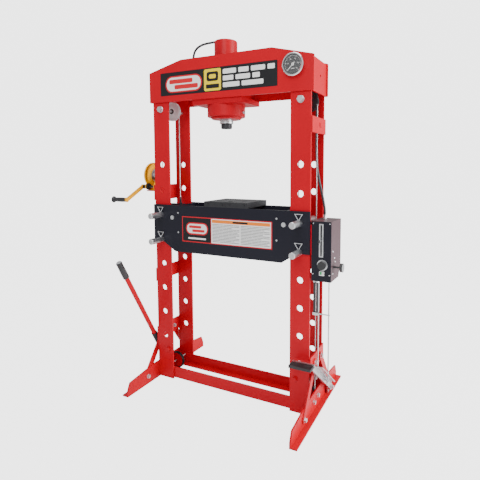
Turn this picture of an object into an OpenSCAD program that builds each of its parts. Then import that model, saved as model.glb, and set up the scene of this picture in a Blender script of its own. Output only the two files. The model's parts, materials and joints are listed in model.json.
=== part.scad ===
// Hydraulic shop press with a winch-lifted bed, an air-over-oil pump and a foot pedal.
// Millimetres. X runs across the press, -Y is the front, Z is up from the floor.

/* [Frame] */
// Distance between the centres of the left and right uprights
upright_span = 870; // [720:1:1060]
// Width of each upright
upright_w = 108; // [90:1:130]
// Thickness of each upright
upright_t = 10; // [8:1:14]
// Depth of the frame over the faces of the front and rear uprights
frame_d = 210; // [180:1:260]
// Height of the upper edge of the beam above the bottom of the uprights
beam_top_z = 1886; // [1800:1:2280]
// Height of the beam at its middle
beam_h = 226; // [190:1:270]
// Height of the beam at its ends
beam_end_h = 172; // [140:1:180]
// Thickness of the beam plates
beam_t = 10; // [8:1:14]
// Length of the raised middle of the beam
beam_crown_w = 562; // [460:1:640]
// How far the beam reaches past the uprights at each end
beam_overhang = 20; // [12:1:40]

/* [Feet] */
// Length of each foot, front to rear
foot_len = 736; // [640:1:880]
// Height of each foot at its middle
foot_h = 100; // [85:1:125]
// Width of the foot's floor flange
foot_flange = 39; // [32:1:50]
// Thickness of the foot's steel
foot_t = 8; // [6:1:10]

/* [Pin holes] */
// Diameter of the bed pins
pin_d = 34; // [28:1:42]
// Height of the lowest hole
hole_z0 = 274; // [240:1:300]
// Distance from one hole to the next
hole_pitch = 147; // [125:1:170]
// Number of holes in each upright
hole_n = 8; // [6:1:8]
// The hole that carries the bed, counted from the bottom
bed_hole = 5; // [4:1:6]

/* [Bed] */
// Thickness of the bed plates
bed_t = 12; // [8:1:15]
// Depth of the bed plates at their middle
bed_h = 271; // [240:1:300]
// Thickness of the arbor plates
arbor_t = 30; // [20:1:40]
// Width of one arbor plate
arbor_w = 136; // [100:1:165]

/* [Cylinder] */
// Outer diameter of the cylinder
cyl_od = 128; // [116:1:156]
// Bore of the cylinder
cyl_id = 100; // [80:1:104]
// Diameter of the ram
ram_d = 76; // [60:1:76]
// Diameter of the collar under the beam
collar_d = 212; // [180:1:240]
// Sideways place of the cylinder, from the middle of the beam
cyl_x = -54; // [-90:1:90]

/* [Hidden] */
$fn = 48;

// Clearances
pin_gap = 0.5;
fit_gap = 0.3;
run_gap = 0.06;

// Frame places
half_d = frame_d / 2;
up_in = upright_span / 2 - upright_w / 2;
up_out = upright_span / 2 + upright_w / 2;
beam_z = beam_top_z - beam_h;
beam_half = up_out + beam_overhang - 4;
up_top = beam_z + beam_end_h - 12;
up_bottom = 8;
tie_t = 8;
tie_z_low = 235;
tie_h = 80;
tie_z_mid = 600;
tie_z_top = beam_z - 200;
bolt_z_top = beam_z - 38;
axle_d = 16;
low_bolt_d = 12;
low_bolt_in = 22;
low_bolt_z = 190;

// Bed places
pin_z_low = hole_z0 + (bed_hole - 1) * hole_pitch;
pin_z_up = pin_z_low + hole_pitch;
bed_top = pin_z_up + 60;
bed_bottom = bed_top - bed_h;
bed_end_z = pin_z_low - 9;
bed_half = up_out + 2;
bed_low_half = up_in - 43;
spacer_x = up_in - 29;
small_screw_x = up_in - 69;
bed_gap = 0;
bed_y = half_d + bed_gap;
bed_full = bed_y + bed_t;

// Cylinder places
web_t = 12;
bracket_t = 28;
bracket_w = 311;
bracket_z = beam_z - bracket_t;
collar_h = 81;
collar_z = bracket_z + 5 - collar_h;
lip_h = 9;
barrel_top = beam_top_z + 99;
cap_t = 10;
tip_d = 62;
tip_h = 28;
ram_out = 24;

// Rope places
rope_d = 5;
rope_r = upright_w / 2 - 4;
rope_x = upright_span / 2;
pulley_r = rope_r + 6;
pulley_w = 16;
wheel_r = rope_r + 3;
wheel_w = 14;
wheel_bore = 12;
wheel_z = 72;
lug_z = bed_top - 14;
lug_t = 12;

// Winch places
winch_x = -up_out - tie_t;
winch_y = -20;
winch_z = 1238;
gear_teeth = 48;
pinion_teeth = 12;
gear_r = 72;
pinion_r = gear_r * pinion_teeth / gear_teeth;
mesh_gap = 1.2;
pinion_off = 62;
pinion_y = winch_y - pinion_off;
pinion_z = winch_z - sqrt(pow(gear_r + pinion_r + mesh_gap, 2) - pow(pinion_off, 2));
shelf_z = winch_z - 96;
shelf_t = 6;
shelf_w = 96;
winch_side_t = 4;
side_a = winch_x - 8;
side_b = winch_x - 74;
cover_r = 78;
drum_r = 24;
crank_arm_x = winch_x - 103;
crank_len = 154;
crank_angle = 28.4;
grip_len = 100;

// Pump places
pump_x = up_out + tie_t;
pump_w = 101;
pump_d = 168;
pump_y = -102;
pump_z = 722;
pump_h = 300;
case_t = 2.5;
panel_t = 3;
slot_x = pump_x + 50;
slot_z = pump_z + 128;
slot_h = 156;
slot_w = 8;
knob_x = slot_x + 7;
knob_z = pump_z + 84;
release_y = -62;
release_z = 792;
release_d = 44;
release_len = 36;
air_y = -84;

// Pedal places
pedal_x = pump_x + 18;
pedal_t = 12;
pedal_h = 28;
pivot = [165, 40];
pedal_angle = 39;
pedal_len = 412;
link_t = 4;
rod_y = [-24, 45];
rod_x = [pump_x + 10, pump_x + 45];
pin_len = [pump_x + 6, pump_x + 53];
hang_d = 8;
hang_play = 1.8;
rod_d = 7;

// Handle places
handle_x = -up_out - tie_t - 6 - 18;
handle_foot = [-70, 206];
handle_angle = 28.5;
handle_len = 640;

// A round bar along Y, from y0 to y1
module bar_y(d, y0, y1, x = 0, z = 0) {
    translate([x, y1, z]) rotate([90, 0, 0]) cylinder(d = d, h = y1 - y0);
}

// A round bar along X, from x0 to x1
module bar_x(d, x0, x1, y = 0, z = 0) {
    translate([x0, y, z]) rotate([0, 90, 0]) cylinder(d = d, h = x1 - x0);
}

// A bolt head on the face at y, with its washer, facing -Y (side = -1) or +Y (side = 1)
module head_y(x, y, z, across = 30, side = -1) {
    translate([x, y, z]) rotate([side > 0 ? -90 : 90, 0, 0]) {
        cylinder(d = across * 1.25, h = 3);
        translate([0, 0, 3]) cylinder(d = across * 1.12, h = across * 0.42, $fn = 6);
    }
}

// A bolt head on the face at x, facing -X (side = -1) or +X (side = 1)
module head_x(x, y, z, across = 24, side = 1) {
    translate([x, y, z]) rotate([0, side > 0 ? 90 : -90, 0]) {
        cylinder(d = across * 1.25, h = 3);
        translate([0, 0, 3]) cylinder(d = across * 1.12, h = across * 0.42, $fn = 6);
    }
}

// An upright with its row of pin holes; side is -1 or 1, y0 is its front face
module upright(side, y0) {
    difference() {
        translate([side * upright_span / 2 - upright_w / 2, y0, up_bottom])
            cube([upright_w, upright_t, up_top - up_bottom]);
        for (i = [0 : hole_n - 1])
            bar_y(pin_d + 2 * pin_gap, y0 - 1, y0 + upright_t + 1, side * upright_span / 2,
                hole_z0 + i * hole_pitch);
        bar_y(axle_d + 2 * run_gap, y0 - 1, y0 + upright_t + 1, side * upright_span / 2, bolt_z_top);
        if (y0 < 0) bar_y(low_bolt_d + 2 * run_gap, y0 - 1, y0 + upright_t + 1,
            side * (upright_span / 2 - low_bolt_in), low_bolt_z);
    }
}
module upright_front_left() { color("red") upright(-1, -half_d); }
module upright_front_right() { color("red") upright(1, -half_d); }
module upright_rear_left() { color("red") upright(-1, half_d - upright_t); }
module upright_rear_right() { color("red") upright(1, half_d - upright_t); }

// The beam's outline: straight ramps rise from its ends to the level middle
module beam_outline() {
    end_z = beam_z + beam_end_h;
    polygon([[-beam_half + 4, beam_z], [beam_half - 4, beam_z], [beam_half, beam_z + 4],
        [beam_half, end_z - 3], [beam_half - 6, end_z], [beam_crown_w / 2 + 4, beam_top_z - 1],
        [beam_crown_w / 2, beam_top_z], [-beam_crown_w / 2, beam_top_z],
        [-beam_crown_w / 2 - 4, beam_top_z - 1], [-beam_half + 6, end_z], [-beam_half, end_z - 3],
        [-beam_half, beam_z + 4]]);
}
module beam_plate(y0) {
    translate([0, y0 + beam_t, 0]) rotate([90, 0, 0]) linear_extrude(beam_t) beam_outline();
}
module beam_front() { color("red") beam_plate(-half_d - beam_t); }
module beam_rear() { color("red") beam_plate(half_d); }

// The plates welded inside the beam: its two ends, each with a small hole, and the cylinder's webs
module beam_inner_plates() {
    color("red") {
        for (s = [-1, 1]) difference() {
            translate([s > 0 ? up_out : -up_out - tie_t, -half_d, beam_z])
                cube([tie_t, frame_d, beam_end_h - 6]);
            bar_x(12, s * up_out - 20, s * up_out + 20, 10, beam_z + 90);
        }
        for (s = [-1, 1]) difference() {
            translate([cyl_x + s * (cyl_od / 2 + 40) - web_t / 2, -half_d, beam_z])
                cube([web_t, frame_d, beam_h - 30]);
            bar_x(56, cyl_x - cyl_od, cyl_x + cyl_od, 76, beam_z + 106);
        }
    }
}

// The thick plate under the beam that the cylinder is clamped in
module cylinder_bracket() {
    color("red") difference() {
        translate([cyl_x - bracket_w / 2, -half_d, bracket_z]) cube([bracket_w, frame_d, bracket_t]);
        translate([cyl_x, 0, bracket_z - 1]) cylinder(d = cyl_od + 2 * fit_gap, h = bracket_t + 2);
        translate([cyl_x, 0, bracket_z - 1]) cylinder(d = collar_d + 2 * fit_gap, h = 1 + 5);
    }
}

// Angle sections that join the uprights at the bottom
base_h = 64;
base_z = 14;
base_flange = 44;
module base_beam(s) {
    y0 = half_d - upright_t;
    translate([-up_out, s > 0 ? y0 - foot_t : -y0, base_z]) cube([2 * up_out, foot_t, base_h]);
    translate([-up_out, s > 0 ? y0 - base_flange : -y0, base_z])
        cube([2 * up_out, base_flange, foot_t]);
}
module base_beam_front() { color("red") base_beam(-1); }
module base_beam_rear() { color("red") base_beam(1); }

// A foot: an angle section, tapered towards its ends
foot_bolts_at = [[-52, 56], [10, 64]];
strut_foot = [foot_len / 2 - 165, 47];
strut_head = [45, 272];
module foot(s) {
    h2 = foot_len / 2;
    x0 = s > 0 ? up_out : -up_out - foot_t;
    difference() {
        union() {
            translate([x0, 0, 0]) rotate([90, 0, 90]) linear_extrude(foot_t)
                polygon([[-h2, 0], [h2, 0], [h2, 30], [h2 - 20, foot_h - 24], [150, foot_h],
                    [-150, foot_h], [-h2 + 20, foot_h - 24], [-h2, 30]]);
            translate([s > 0 ? up_out : -up_out - foot_flange, -h2, 0])
                cube([foot_flange, foot_len, foot_t]);
        }
        for (b = foot_bolts_at) bar_x(13, x0 - 1, x0 + foot_t + 1, b[0], b[1]);
        for (d = [-1, 1]) bar_x(13, x0 - 1, x0 + foot_t + 1, d * strut_foot[0], strut_foot[1]);
    }
}
module foot_left() { color("red") foot(-1); }
module foot_right() { color("red") foot(1); }

// Flat bars that brace the feet against the lower tie plates
strut_t = 6;
strut_w = 38;
module foot_struts() {
    dy = strut_foot[0] - strut_head[0];
    dz = strut_head[1] - strut_foot[1];
    len = sqrt(dy * dy + dz * dz);
    color("red") for (s = [-1, 1], d = [-1, 1])
        translate([s > 0 ? up_out + foot_t : -up_out - foot_t - strut_t, d * strut_foot[0], strut_foot[1]])
            rotate([d > 0 ? atan2(dz, -dy) : atan2(dz, dy), 0, 0]) difference() {
                union() {
                    translate([0, 0, -strut_w / 2]) cube([strut_t, len, strut_w]);
                    rotate([0, 90, 0]) cylinder(d = strut_w, h = strut_t);
                    translate([0, len, 0]) rotate([0, 90, 0]) cylinder(d = strut_w, h = strut_t);
                }
                for (y = [0, len]) translate([-1, y, 0]) rotate([0, 90, 0])
                    cylinder(d = 13, h = strut_t + 2);
            }
}

// Plates across the outer edges of the uprights
module tie_plate(s, z, h) {
    translate([s > 0 ? up_out : -up_out - tie_t, -half_d, z]) cube([tie_t, frame_d, h]);
}
module tie_plates() {
    color("red") difference() {
        union() {
            for (s = [-1, 1]) tie_plate(s, tie_z_low, tie_h);
            tie_plate(-1, tie_z_mid, tie_h);
            tie_plate(-1, shelf_z - 50, 90);
            tie_plate(1, pump_z + 130, 150);
            tie_plate(1, tie_z_top, tie_h);
        }
        for (s = [-1, 1], d = [-1, 1])
            bar_x(13, s * up_out - 20, s * up_out + 20, d * strut_head[0], strut_head[1]);
        for (y = [-4, 16]) translate([up_out - 1, y, tie_z_top + 30]) cube([tie_t + 2, 6, 26]);
    }
}

// Red-painted bolts low on the uprights and into the beam
module frame_bolts() {
    color("red") for (s = [-1, 1]) {
        head_y(s * (upright_span / 2 - low_bolt_in), -half_d, low_bolt_z, 22);
        bar_y(low_bolt_d, -half_d, -half_d + upright_t, s * (upright_span / 2 - low_bolt_in), low_bolt_z);
    }
}

// Zinc bolts of the feet and struts
module foot_bolts() {
    color("silver") for (s = [-1, 1]) {
        for (b = foot_bolts_at) {
            head_x(s * (up_out + foot_t), b[0], b[1], 20, s);
            bar_x(12, s > 0 ? up_out : -up_out - foot_t, s > 0 ? up_out + foot_t : -up_out, b[0], b[1]);
        }
        for (d = [-1, 1], p = [strut_foot, strut_head]) {
            head_x(s * (up_out + foot_t + strut_t), d * p[0], p[1], 20, s);
            bar_x(12, s > 0 ? up_out - 2 : -up_out - foot_t - strut_t,
                s > 0 ? up_out + foot_t + strut_t : -up_out + 2, d * p[0], p[1]);
            head_x(s * up_out, d * p[0], p[1], 20, -s);
        }
    }
}

// Axles of the four rope pulleys
module pulley_axles() {
    color("silver") for (s = [-1, 1]) {
        head_y(s * upright_span / 2, -half_d, bolt_z_top, 30);
        bar_y(axle_d, -half_d, half_d, s * upright_span / 2, bolt_z_top);
        head_y(s * upright_span / 2, half_d, bolt_z_top, 30, 1);
        bar_y(wheel_bore, -half_d + upright_t + foot_t, half_d - upright_t - foot_t, s * rope_x, wheel_z);
    }
}

// Cylinder, its collar and bleed screw
module cylinder_barrel() {
    z0 = collar_z + lip_h;
    top = barrel_top - z0;
    color("red") translate([cyl_x, 0, z0]) rotate_extrude($fn = 96)
        polygon([[cyl_id / 2, 0], [cyl_od / 2, 0], [cyl_od / 2, top - 4], [cyl_od / 2 - 4, top], [0, top],
            [0, top - cap_t], [cyl_id / 2, top - cap_t]]);
}
module cylinder_collar() {
    r = collar_d / 2;
    color("red") translate([cyl_x, 0, collar_z]) rotate_extrude($fn = 96)
        polygon([[ram_d / 2 + fit_gap, 0], [r - 26, 0], [r - 20, 6], [r - 20, 12], [r - 3, 12], [r, 15],
            [r, collar_h], [cyl_od / 2 + fit_gap, collar_h], [cyl_od / 2 + fit_gap, lip_h],
            [ram_d / 2 + fit_gap, lip_h]]);
}
module bleed_screw() {
    color("silver") {
        bar_x(14, cyl_x + collar_d / 2, cyl_x + collar_d / 2 + 5, 0, collar_z + 34);
        bar_x(9, cyl_x + collar_d / 2 + 5, cyl_x + collar_d / 2 + 13, 0, collar_z + 34);
    }
}

// The ram with its piston; the exposed end has turned grooves
piston_z = barrel_top - cap_t - 60;
module ram_rod() {
    r = ram_d / 2;
    z0 = collar_z - ram_out;
    color("silver") translate([cyl_x, 0, 0]) rotate_extrude($fn = 96)
        polygon(concat([[0, z0], [r - 2, z0], [r, z0 + 2]],
            [for (i = [0 : 3], k = [0 : 3]) [r - (k == 1 || k == 2 ? 1.6 : 0), z0 + 8 + i * 4 + k]],
            [[r, piston_z], [cyl_id / 2 - run_gap, piston_z], [cyl_id / 2 - run_gap, piston_z + 42],
            [0, piston_z + 42]]));
}
module ram_tip() {
    z0 = collar_z - ram_out - tip_h;
    r = tip_d / 2;
    color("dimgray") {
        translate([cyl_x, 0, z0]) rotate_extrude($fn = 96)
            polygon([[0, 0], [r - 4, 0], [r, 4], [r, tip_h - 3], [r - 3, tip_h], [0, tip_h]]);
        bar_x(8, cyl_x + r - 1, cyl_x + r + 3, 0, z0 + tip_h / 2);
    }
}

// Pressure gauge on the front of the beam
gauge_x = beam_half - 101;
gauge_z = beam_z + 126;
gauge_r = 56;
module gauge_case() {
    color("silver") translate([gauge_x, -half_d - beam_t, gauge_z]) rotate([90, 0, 0]) {
        rotate_extrude($fn = 96) polygon([[0, 0], [gauge_r - 6, 0], [gauge_r - 6, 16], [gauge_r, 18],
            [gauge_r, 24], [gauge_r - 3, 27], [gauge_r - 7, 27], [gauge_r - 8, 19], [3.5, 19], [3.5, 24], [0, 24]]);
    }
}
module gauge_needle() {
    color("white") translate([gauge_x, -half_d - beam_t - 20, gauge_z]) rotate([90, 0, 0])
        difference() {
            union() {
                cylinder(r = 7, h = 1.6);
                rotate([0, 0, 225]) translate([-14, -1.3, 0]) cube([52, 2.6, 1.6]);
            }
            translate([0, 0, -1]) cylinder(r = 3.5 + run_gap, h = 4);
        }
}

// Swept tube along points: rings whose sides lie across the path
function unit(v) = v / norm(v);
function way(p, i) = unit(p[min(i + 1, len(p) - 1)] - p[max(i - 1, 0)]);
module swept(p, d, sides) {
    ref = [0.13, 0.97, 0.21];
    pts = [for (i = [0 : len(p) - 1]) let(t = way(p, i), u = unit(cross(t, ref)), v = cross(t, u))
        for (k = [0 : sides - 1]) p[i] + d / 2 * (u * cos(360 * k / sides) + v * sin(360 * k / sides))];
    n = len(p);
    polyhedron(pts, concat([[for (k = [0 : sides - 1]) k]],
        [for (i = [0 : n - 2], k = [0 : sides - 1]) let(a = i * sides, b = (k + 1) % sides)
            [a + k, a + sides + k, a + sides + b, a + b]],
        [[for (k = [sides - 1 : -1 : 0]) (n - 1) * sides + k]]), convexity = 8);
}

// Oil hose from the top of the cylinder, through the beam, down to the pump
hose_d = 13;
hose_head = [[-65, 0, 7], [-96, 0, 7], [-136, 0, 5], [-174, 0, -3], [-204, 0, -22], [-218, 0, -51],
    [-221, 0, -85], [-218, 2, -117], [-206, 14, -147], [-186, 36, -173], [-156, 60, -195],
    [-106, 80, -213], [-6, 88, -219], [114, 88, -221], [224, 86, -221], [334, 80, -223]];
hose_side = [[-75, 72, 96], [-15, 62, 80], [17, 54, 48], [29, 50, 0], [31, 48, -80]];
hose_pump = [[-30, 46, 458], [-29, 44, 358], [-23, 40, 268], [-9, 34, 193], [9, 28, 128], [21, 23, 78],
    [27, 20, 46], [28, 20, 22]];
oil_route = concat([for (p = hose_head) p + [cyl_x, 0, barrel_top]],
    [for (p = hose_side) p + [upright_span / 2, 0, beam_z]],
    [for (p = hose_pump) p + [pump_x, 0, pump_z + pump_h]]);
module oil_hose() { color("black") swept(oil_route, hose_d, 10); }
module hose_elbow() {
    color("silver") {
        translate([cyl_x - 42, 0, barrel_top]) cylinder(d = 16, h = 3, $fn = 6);
        bar_x(12, cyl_x - 65, cyl_x - 32, 0, barrel_top + 9);
        translate([pump_x + 28, 20, pump_z + pump_h]) cylinder(d = 18, h = 14, $fn = 6);
        translate([pump_x + 28, 20, pump_z + pump_h + 14]) cylinder(d = 15, h = 8);
    }
}

// A grooved pulley on an axle along Y: r_rope is the rope's radius, r the flange's
module pulley(r, r_rope, w, bore, x, z) {
    b = bore / 2 + run_gap;
    deep = r_rope - rope_d / 2 - 2 * fit_gap;
    translate([x, w / 2, z]) rotate([90, 0, 0]) rotate_extrude($fn = 72)
        polygon([[b, 0], [r * 0.28, 0], [r * 0.36, 3], [r - 9, 3], [r - 6, 0], [r, 0], [r, 2.2],
            [deep, w / 2 - 3], [deep, w / 2 + 3], [r, w - 2.2], [r, w], [r - 6, w], [r - 9, w - 3],
            [r * 0.36, w - 3], [r * 0.28, w], [b, w]]);
}
module pulley_left() { color("silver") pulley(pulley_r, rope_r, pulley_w, axle_d, -rope_x, bolt_z_top); }
module pulley_right() { color("silver") pulley(pulley_r, rope_r, pulley_w, axle_d, rope_x, bolt_z_top); }
module lower_pulley(s) {
    color("dimgray") pulley(wheel_r, rope_r, wheel_w, wheel_bore, s * rope_x, wheel_z);
}
module lower_pulley_left() { lower_pulley(-1); }
module lower_pulley_right() { lower_pulley(1); }

// Points of an arc of the rope in the XZ plane
function arc(cx, cz, r, a0, a1, n) =
    [for (i = [0 : n]) let(a = a0 + (a1 - a0) * i / n) [cx + r * cos(a), 0, cz + r * sin(a)]];
rope_in = rope_x - rope_r;
rope_out = rope_x + rope_r;
drum_rope_y = winch_y + drum_r + rope_d / 2 + fit_gap;
lift_rope = concat([[-rope_in, 0, bed_top + 26]], arc(-rope_x, bolt_z_top, rope_r, 0, 180, 20),
    [[side_a - 24, drum_rope_y, winch_z + 6]]);
link_rope = concat([[-rope_out, 0, lug_z - 18]], arc(-rope_x, wheel_z, rope_r, 180, 270, 10),
    arc(rope_x, wheel_z, rope_r, 270, 360, 10), arc(rope_x, bolt_z_top, rope_r, 0, 180, 20),
    [[rope_in, 0, bed_top + 26]]);
module winch_rope() {
    color("silver") {
        swept(lift_rope, rope_d, 8);
        swept(link_rope, rope_d, 8);
    }
}
// Sleeves and eyes that hold the ropes to the bed's lugs
module rope_ends() {
    color("dimgray") {
        for (s = [-1, 1]) translate([s * rope_in, 0, bed_top]) difference() {
            union() {
                translate([0, 0, 2]) cylinder(d = 11, h = 34);
                translate([0, 0, lug_z + lug_t - bed_top]) cylinder(d = 18, h = 6);
            }
            translate([0, 0, 26 - rope_d]) cylinder(d = rope_d + 2 * fit_gap, h = 40);
        }
        translate([-rope_out, 0, lug_z - 30]) difference() {
            cylinder(d = 7.6, h = 30);
            translate([0, 0, -1]) cylinder(d = rope_d + 2 * fit_gap, h = 20);
        }
    }
}

// Bed plates: pins through the upper holes, half-round saddles on the lower pins
module bed_plate(y0) {
    r = pin_d / 2 + pin_gap;
    h = upright_span / 2;
    difference() {
        translate([0, y0 + bed_t, 0]) rotate([90, 0, 0]) linear_extrude(bed_t)
            polygon([[-bed_half, bed_top], [-bed_half, bed_end_z], [-bed_half + 68, bed_end_z],
                [-bed_low_half, bed_bottom], [bed_low_half, bed_bottom], [bed_half - 68, bed_end_z],
                [bed_half, bed_end_z], [bed_half, bed_top]]);
        for (s = [-1, 1]) {
            bar_y(2 * r, y0 - 1, y0 + bed_t + 1, s * h, pin_z_up);
            bar_y(2 * r, y0 - 1, y0 + bed_t + 1, s * h, pin_z_low);
            translate([s * h - r, y0 - 1, bed_end_z - 1]) cube([2 * r, bed_t + 2, pin_z_low - bed_end_z + 1]);
        }
    }
}
module bed_front() { color([0.16, 0.16, 0.2]) bed_plate(-bed_full); }
module bed_rear() { color([0.16, 0.16, 0.2]) bed_plate(bed_y); }
// Cross plates between the bed plates, with the lugs that the ropes lift
module bed_spacers() {
    color([0.16, 0.16, 0.2]) for (s = [-1, 1]) {
        translate([s * spacer_x - 6, -bed_y, bed_bottom + 40]) cube([12, 2 * bed_y, bed_h - 44]);
        reach = s > 0 ? rope_in + 14 : rope_out + 3;
        translate([s > 0 ? spacer_x + 6 : -reach, -14, lug_z]) cube([reach - spacer_x - 6, 28, lug_t]);
        translate([s * 130 - 6, -bed_y, bed_bottom + 20]) cube([12, 2 * bed_y, 120]);
    }
}
// A screw's round head on the front (d = -1) or rear (d = 1) of the bed
module round_head(across, high, x, d, z) {
    bar_y(across, d > 0 ? bed_full : -bed_full - high, d > 0 ? bed_full + high : -bed_full, x, z);
}
module bed_screws() {
    color("silver") for (s = [-1, 1], d = [-1, 1]) {
        round_head(24, 8, s * spacer_x, d, pin_z_up - 12);
        for (z = [17, -96]) round_head(10, 4, s * small_screw_x, d, pin_z_up + z);
    }
}

// Loose plates on the bed, each with two screws in its front edge
arbor_mid = 3;
module arbor_plate(s) {
    x0 = s > 0 ? arbor_mid + 0.5 : arbor_mid - 0.5 - arbor_w;
    color([0.2, 0.2, 0.24]) {
        difference() {
            translate([x0, -bed_full, bed_top]) cube([arbor_w, 2 * bed_full, arbor_t]);
            for (y = [-60, 60]) translate([s > 0 ? x0 - 1 : x0 + arbor_w + 1, y, bed_top - 1])
                cylinder(r = 14, h = arbor_t + 2);
        }
        for (x = [x0 + 22, x0 + arbor_w - 22]) bar_y(12, -bed_full - 3, -bed_full, x, bed_top + arbor_t / 2);
    }
}
module arbor_plate_left() { arbor_plate(-1); }
module arbor_plate_right() { arbor_plate(1); }

// A bed pin with its wire clip, which stands on it close to the bed
clip_d = 3.4;
clip_y = -bed_full - 10;
pin_front = -half_d - 111;
pin_rear = half_d + 28;
module bed_pin(s, z) {
    x = s * upright_span / 2;
    r = pin_d / 2;
    color("silver") {
        translate([x, pin_rear, z]) rotate([90, 0, 0]) rotate_extrude()
            polygon([[0, 0], [r - 3, 0], [r, 3], [r, pin_rear - pin_front - 3],
                [r - 3, pin_rear - pin_front], [0, pin_rear - pin_front]]);
        for (d = [-1, 1]) translate([x, clip_y, z + r - 3]) rotate([0, d * 32, 0])
            cylinder(d = clip_d, h = 40);
        bar_x(clip_d, x - 22, x + 22, clip_y, z + r + 29);
    }
}
module pin_upper_left() { bed_pin(-1, pin_z_up); }
module pin_upper_right() { bed_pin(1, pin_z_up); }
module pin_lower_left() { bed_pin(-1, pin_z_low); }
module pin_lower_right() { bed_pin(1, pin_z_low); }

// A spur gear across X; phase is the angle of one tooth
module gear(n, r, w, phase) {
    p = 360 / n;
    rotate([90, 0, 90]) linear_extrude(w) polygon([for (i = [0 : n - 1], k = [[-0.24, -2.2], [-0.13, 1.7],
        [0.13, 1.7], [0.24, -2.2]]) let(a = phase + (i + k[0]) * p) (r + k[1]) * [cos(a), sin(a)]]);
}
mesh_angle = atan2(pinion_z - winch_z, pinion_y - winch_y);
gear_x = side_b + 9;
gear_w = 8;

// The winch's shelf, side plates and gear cover
module winch_side(x) {
    translate([x, 0, 0]) rotate([90, 0, 90]) linear_extrude(winch_side_t) difference() {
        hull() {
            translate([winch_y, winch_z]) circle(r = 30);
            translate([pinion_y, pinion_z]) circle(r = 18);
            translate([-62, shelf_z + shelf_t]) square([124, 4]);
        }
        translate([winch_y, winch_z]) circle(d = 16 + 2 * run_gap);
        translate([pinion_y, pinion_z]) circle(d = 14 + 2 * run_gap);
    }
}
module winch_frame() {
    color("gold") {
        winch_side(side_a - winch_side_t);
        winch_side(side_b);
        translate([side_b, -62, shelf_z + shelf_t]) cube([side_a - side_b, 124, 4]);
        translate([side_b - 14, winch_y, winch_z]) rotate([0, 90, 0]) rotate_extrude()
            polygon([[15, 0], [cover_r - 5, 0], [cover_r, 5], [cover_r, 14], [cover_r - 3, 14],
                [cover_r - 3, 6], [15, 3]]);
    }
    color("red") translate([winch_x - shelf_w, -62, shelf_z]) cube([shelf_w, 124, shelf_t]);
}
module winch_drum() {
    color("silver") {
        translate([0, winch_y, winch_z]) {
            bar_x(16, side_b - 20, side_a + 3);
            bar_x(2 * drum_r, gear_x + gear_w, side_a - winch_side_t - 1);
            bar_x(84, gear_x + gear_w, gear_x + gear_w + 2);
            bar_x(84, side_a - winch_side_t - 3, side_a - winch_side_t - 1);
            translate([gear_x, 0, 0]) gear(gear_teeth, gear_r, gear_w, mesh_angle + 180 / gear_teeth);
        }
    }
}
module winch_crank() {
    color("gold") translate([0, pinion_y, pinion_z]) {
        bar_x(14, crank_arm_x - 8, side_a + 3);
        translate([gear_x - 2, 0, 0]) gear(pinion_teeth, pinion_r, gear_w + 4, mesh_angle + 180);
        bar_x(26, crank_arm_x - 10, crank_arm_x + 8);
        translate([crank_arm_x - 8, 0, 0]) rotate([crank_angle, 0, 0]) {
            translate([0, -crank_len, -11]) cube([8, crank_len, 22]);
            translate([0, -crank_len, 0]) rotate([0, 90, 0]) cylinder(d = 26, h = 8);
            bar_x(10, -grip_len - 4, 8, -crank_len, 0);
        }
    }
}
module crank_grip() {
    b = 5 + run_gap;
    color([0.1, 0.1, 0.1]) translate([crank_arm_x - 9, pinion_y, pinion_z]) rotate([crank_angle, 0, 0])
        translate([0, -crank_len, 0]) rotate([0, -90, 0]) rotate_extrude()
            polygon([[b, 0], [13, 0], [13, 3], [12, 6], [13.5, 30], [13, 60], [12, grip_len - 14],
                [15, grip_len - 9], [19, grip_len - 5], [19, grip_len - 2], [17, grip_len], [b, grip_len]]);
}

// The pump's hand lever, stowed upright in its socket
module handle_place() {
    translate([handle_x, handle_foot[0], handle_foot[1]]) rotate([handle_angle, 0, 0]) children();
}
module pump_handle() {
    color("red") handle_place() rotate_extrude() polygon([[0, 0], [11, 0], [13, 2], [13, handle_len - 112],
        [17, handle_len - 110], [17, handle_len - 60], [16, handle_len - 20], [17, handle_len - 6],
        [14, handle_len], [0, handle_len]]);
}
module handle_socket() {
    color("black") {
        handle_place() rotate_extrude() polygon([[0, -6], [17, -6], [17, 78], [13.4, 78], [13.4, -fit_gap],
            [0, -fit_gap]]);
        handle_place() translate([14.2, -12, 4]) cube([3.6, 24, 50]);
    }
}

// The pump's sheet-steel case, open at the front and closed by the panel
module pump_case() {
    t = case_t;
    color([0.75, 0.7, 0.7]) difference() {
        translate([pump_x, pump_y, pump_z]) rotate([90, 0, 90]) linear_extrude(pump_w)
            polygon([[0, 0], [pump_d - 38, 0], [pump_d, 62], [pump_d, pump_h], [0, pump_h]]);
        translate([pump_x + t, pump_y - 1, pump_z + t]) rotate([90, 0, 90]) linear_extrude(pump_w - 2 * t)
            polygon([[0, 0], [pump_d - 39, 0], [pump_d - t, 62 - t], [pump_d - t, pump_h - 2 * t],
                [0, pump_h - 2 * t]]);
        for (i = [0, 1]) translate([rod_x[i] + link_t / 2, rod_y[i], pump_z - 1])
            cylinder(d = rod_d + 1.4, h = 44);
        bar_x(10.6, pump_x + pump_w - t - 1, pump_x + pump_w + 1, release_y, release_z);
    }
}
module pump_panel() {
    color([0.14, 0.14, 0.16]) difference() {
        union() {
            translate([pump_x, pump_y - panel_t, pump_z]) cube([pump_w, panel_t, pump_h]);
            translate([slot_x - 11, pump_y - panel_t - 1, slot_z - 5]) cube([22, 2, slot_h + 10]);
            bar_y(54, pump_y - panel_t - 2, pump_y - 1, knob_x, knob_z);
        }
        translate([slot_x - slot_w / 2, pump_y - panel_t - 3, slot_z]) cube([slot_w, panel_t + 6, slot_h]);
        bar_y(10.6, pump_y - panel_t - 3, pump_y + 1, knob_x, knob_z);
    }
}
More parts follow.
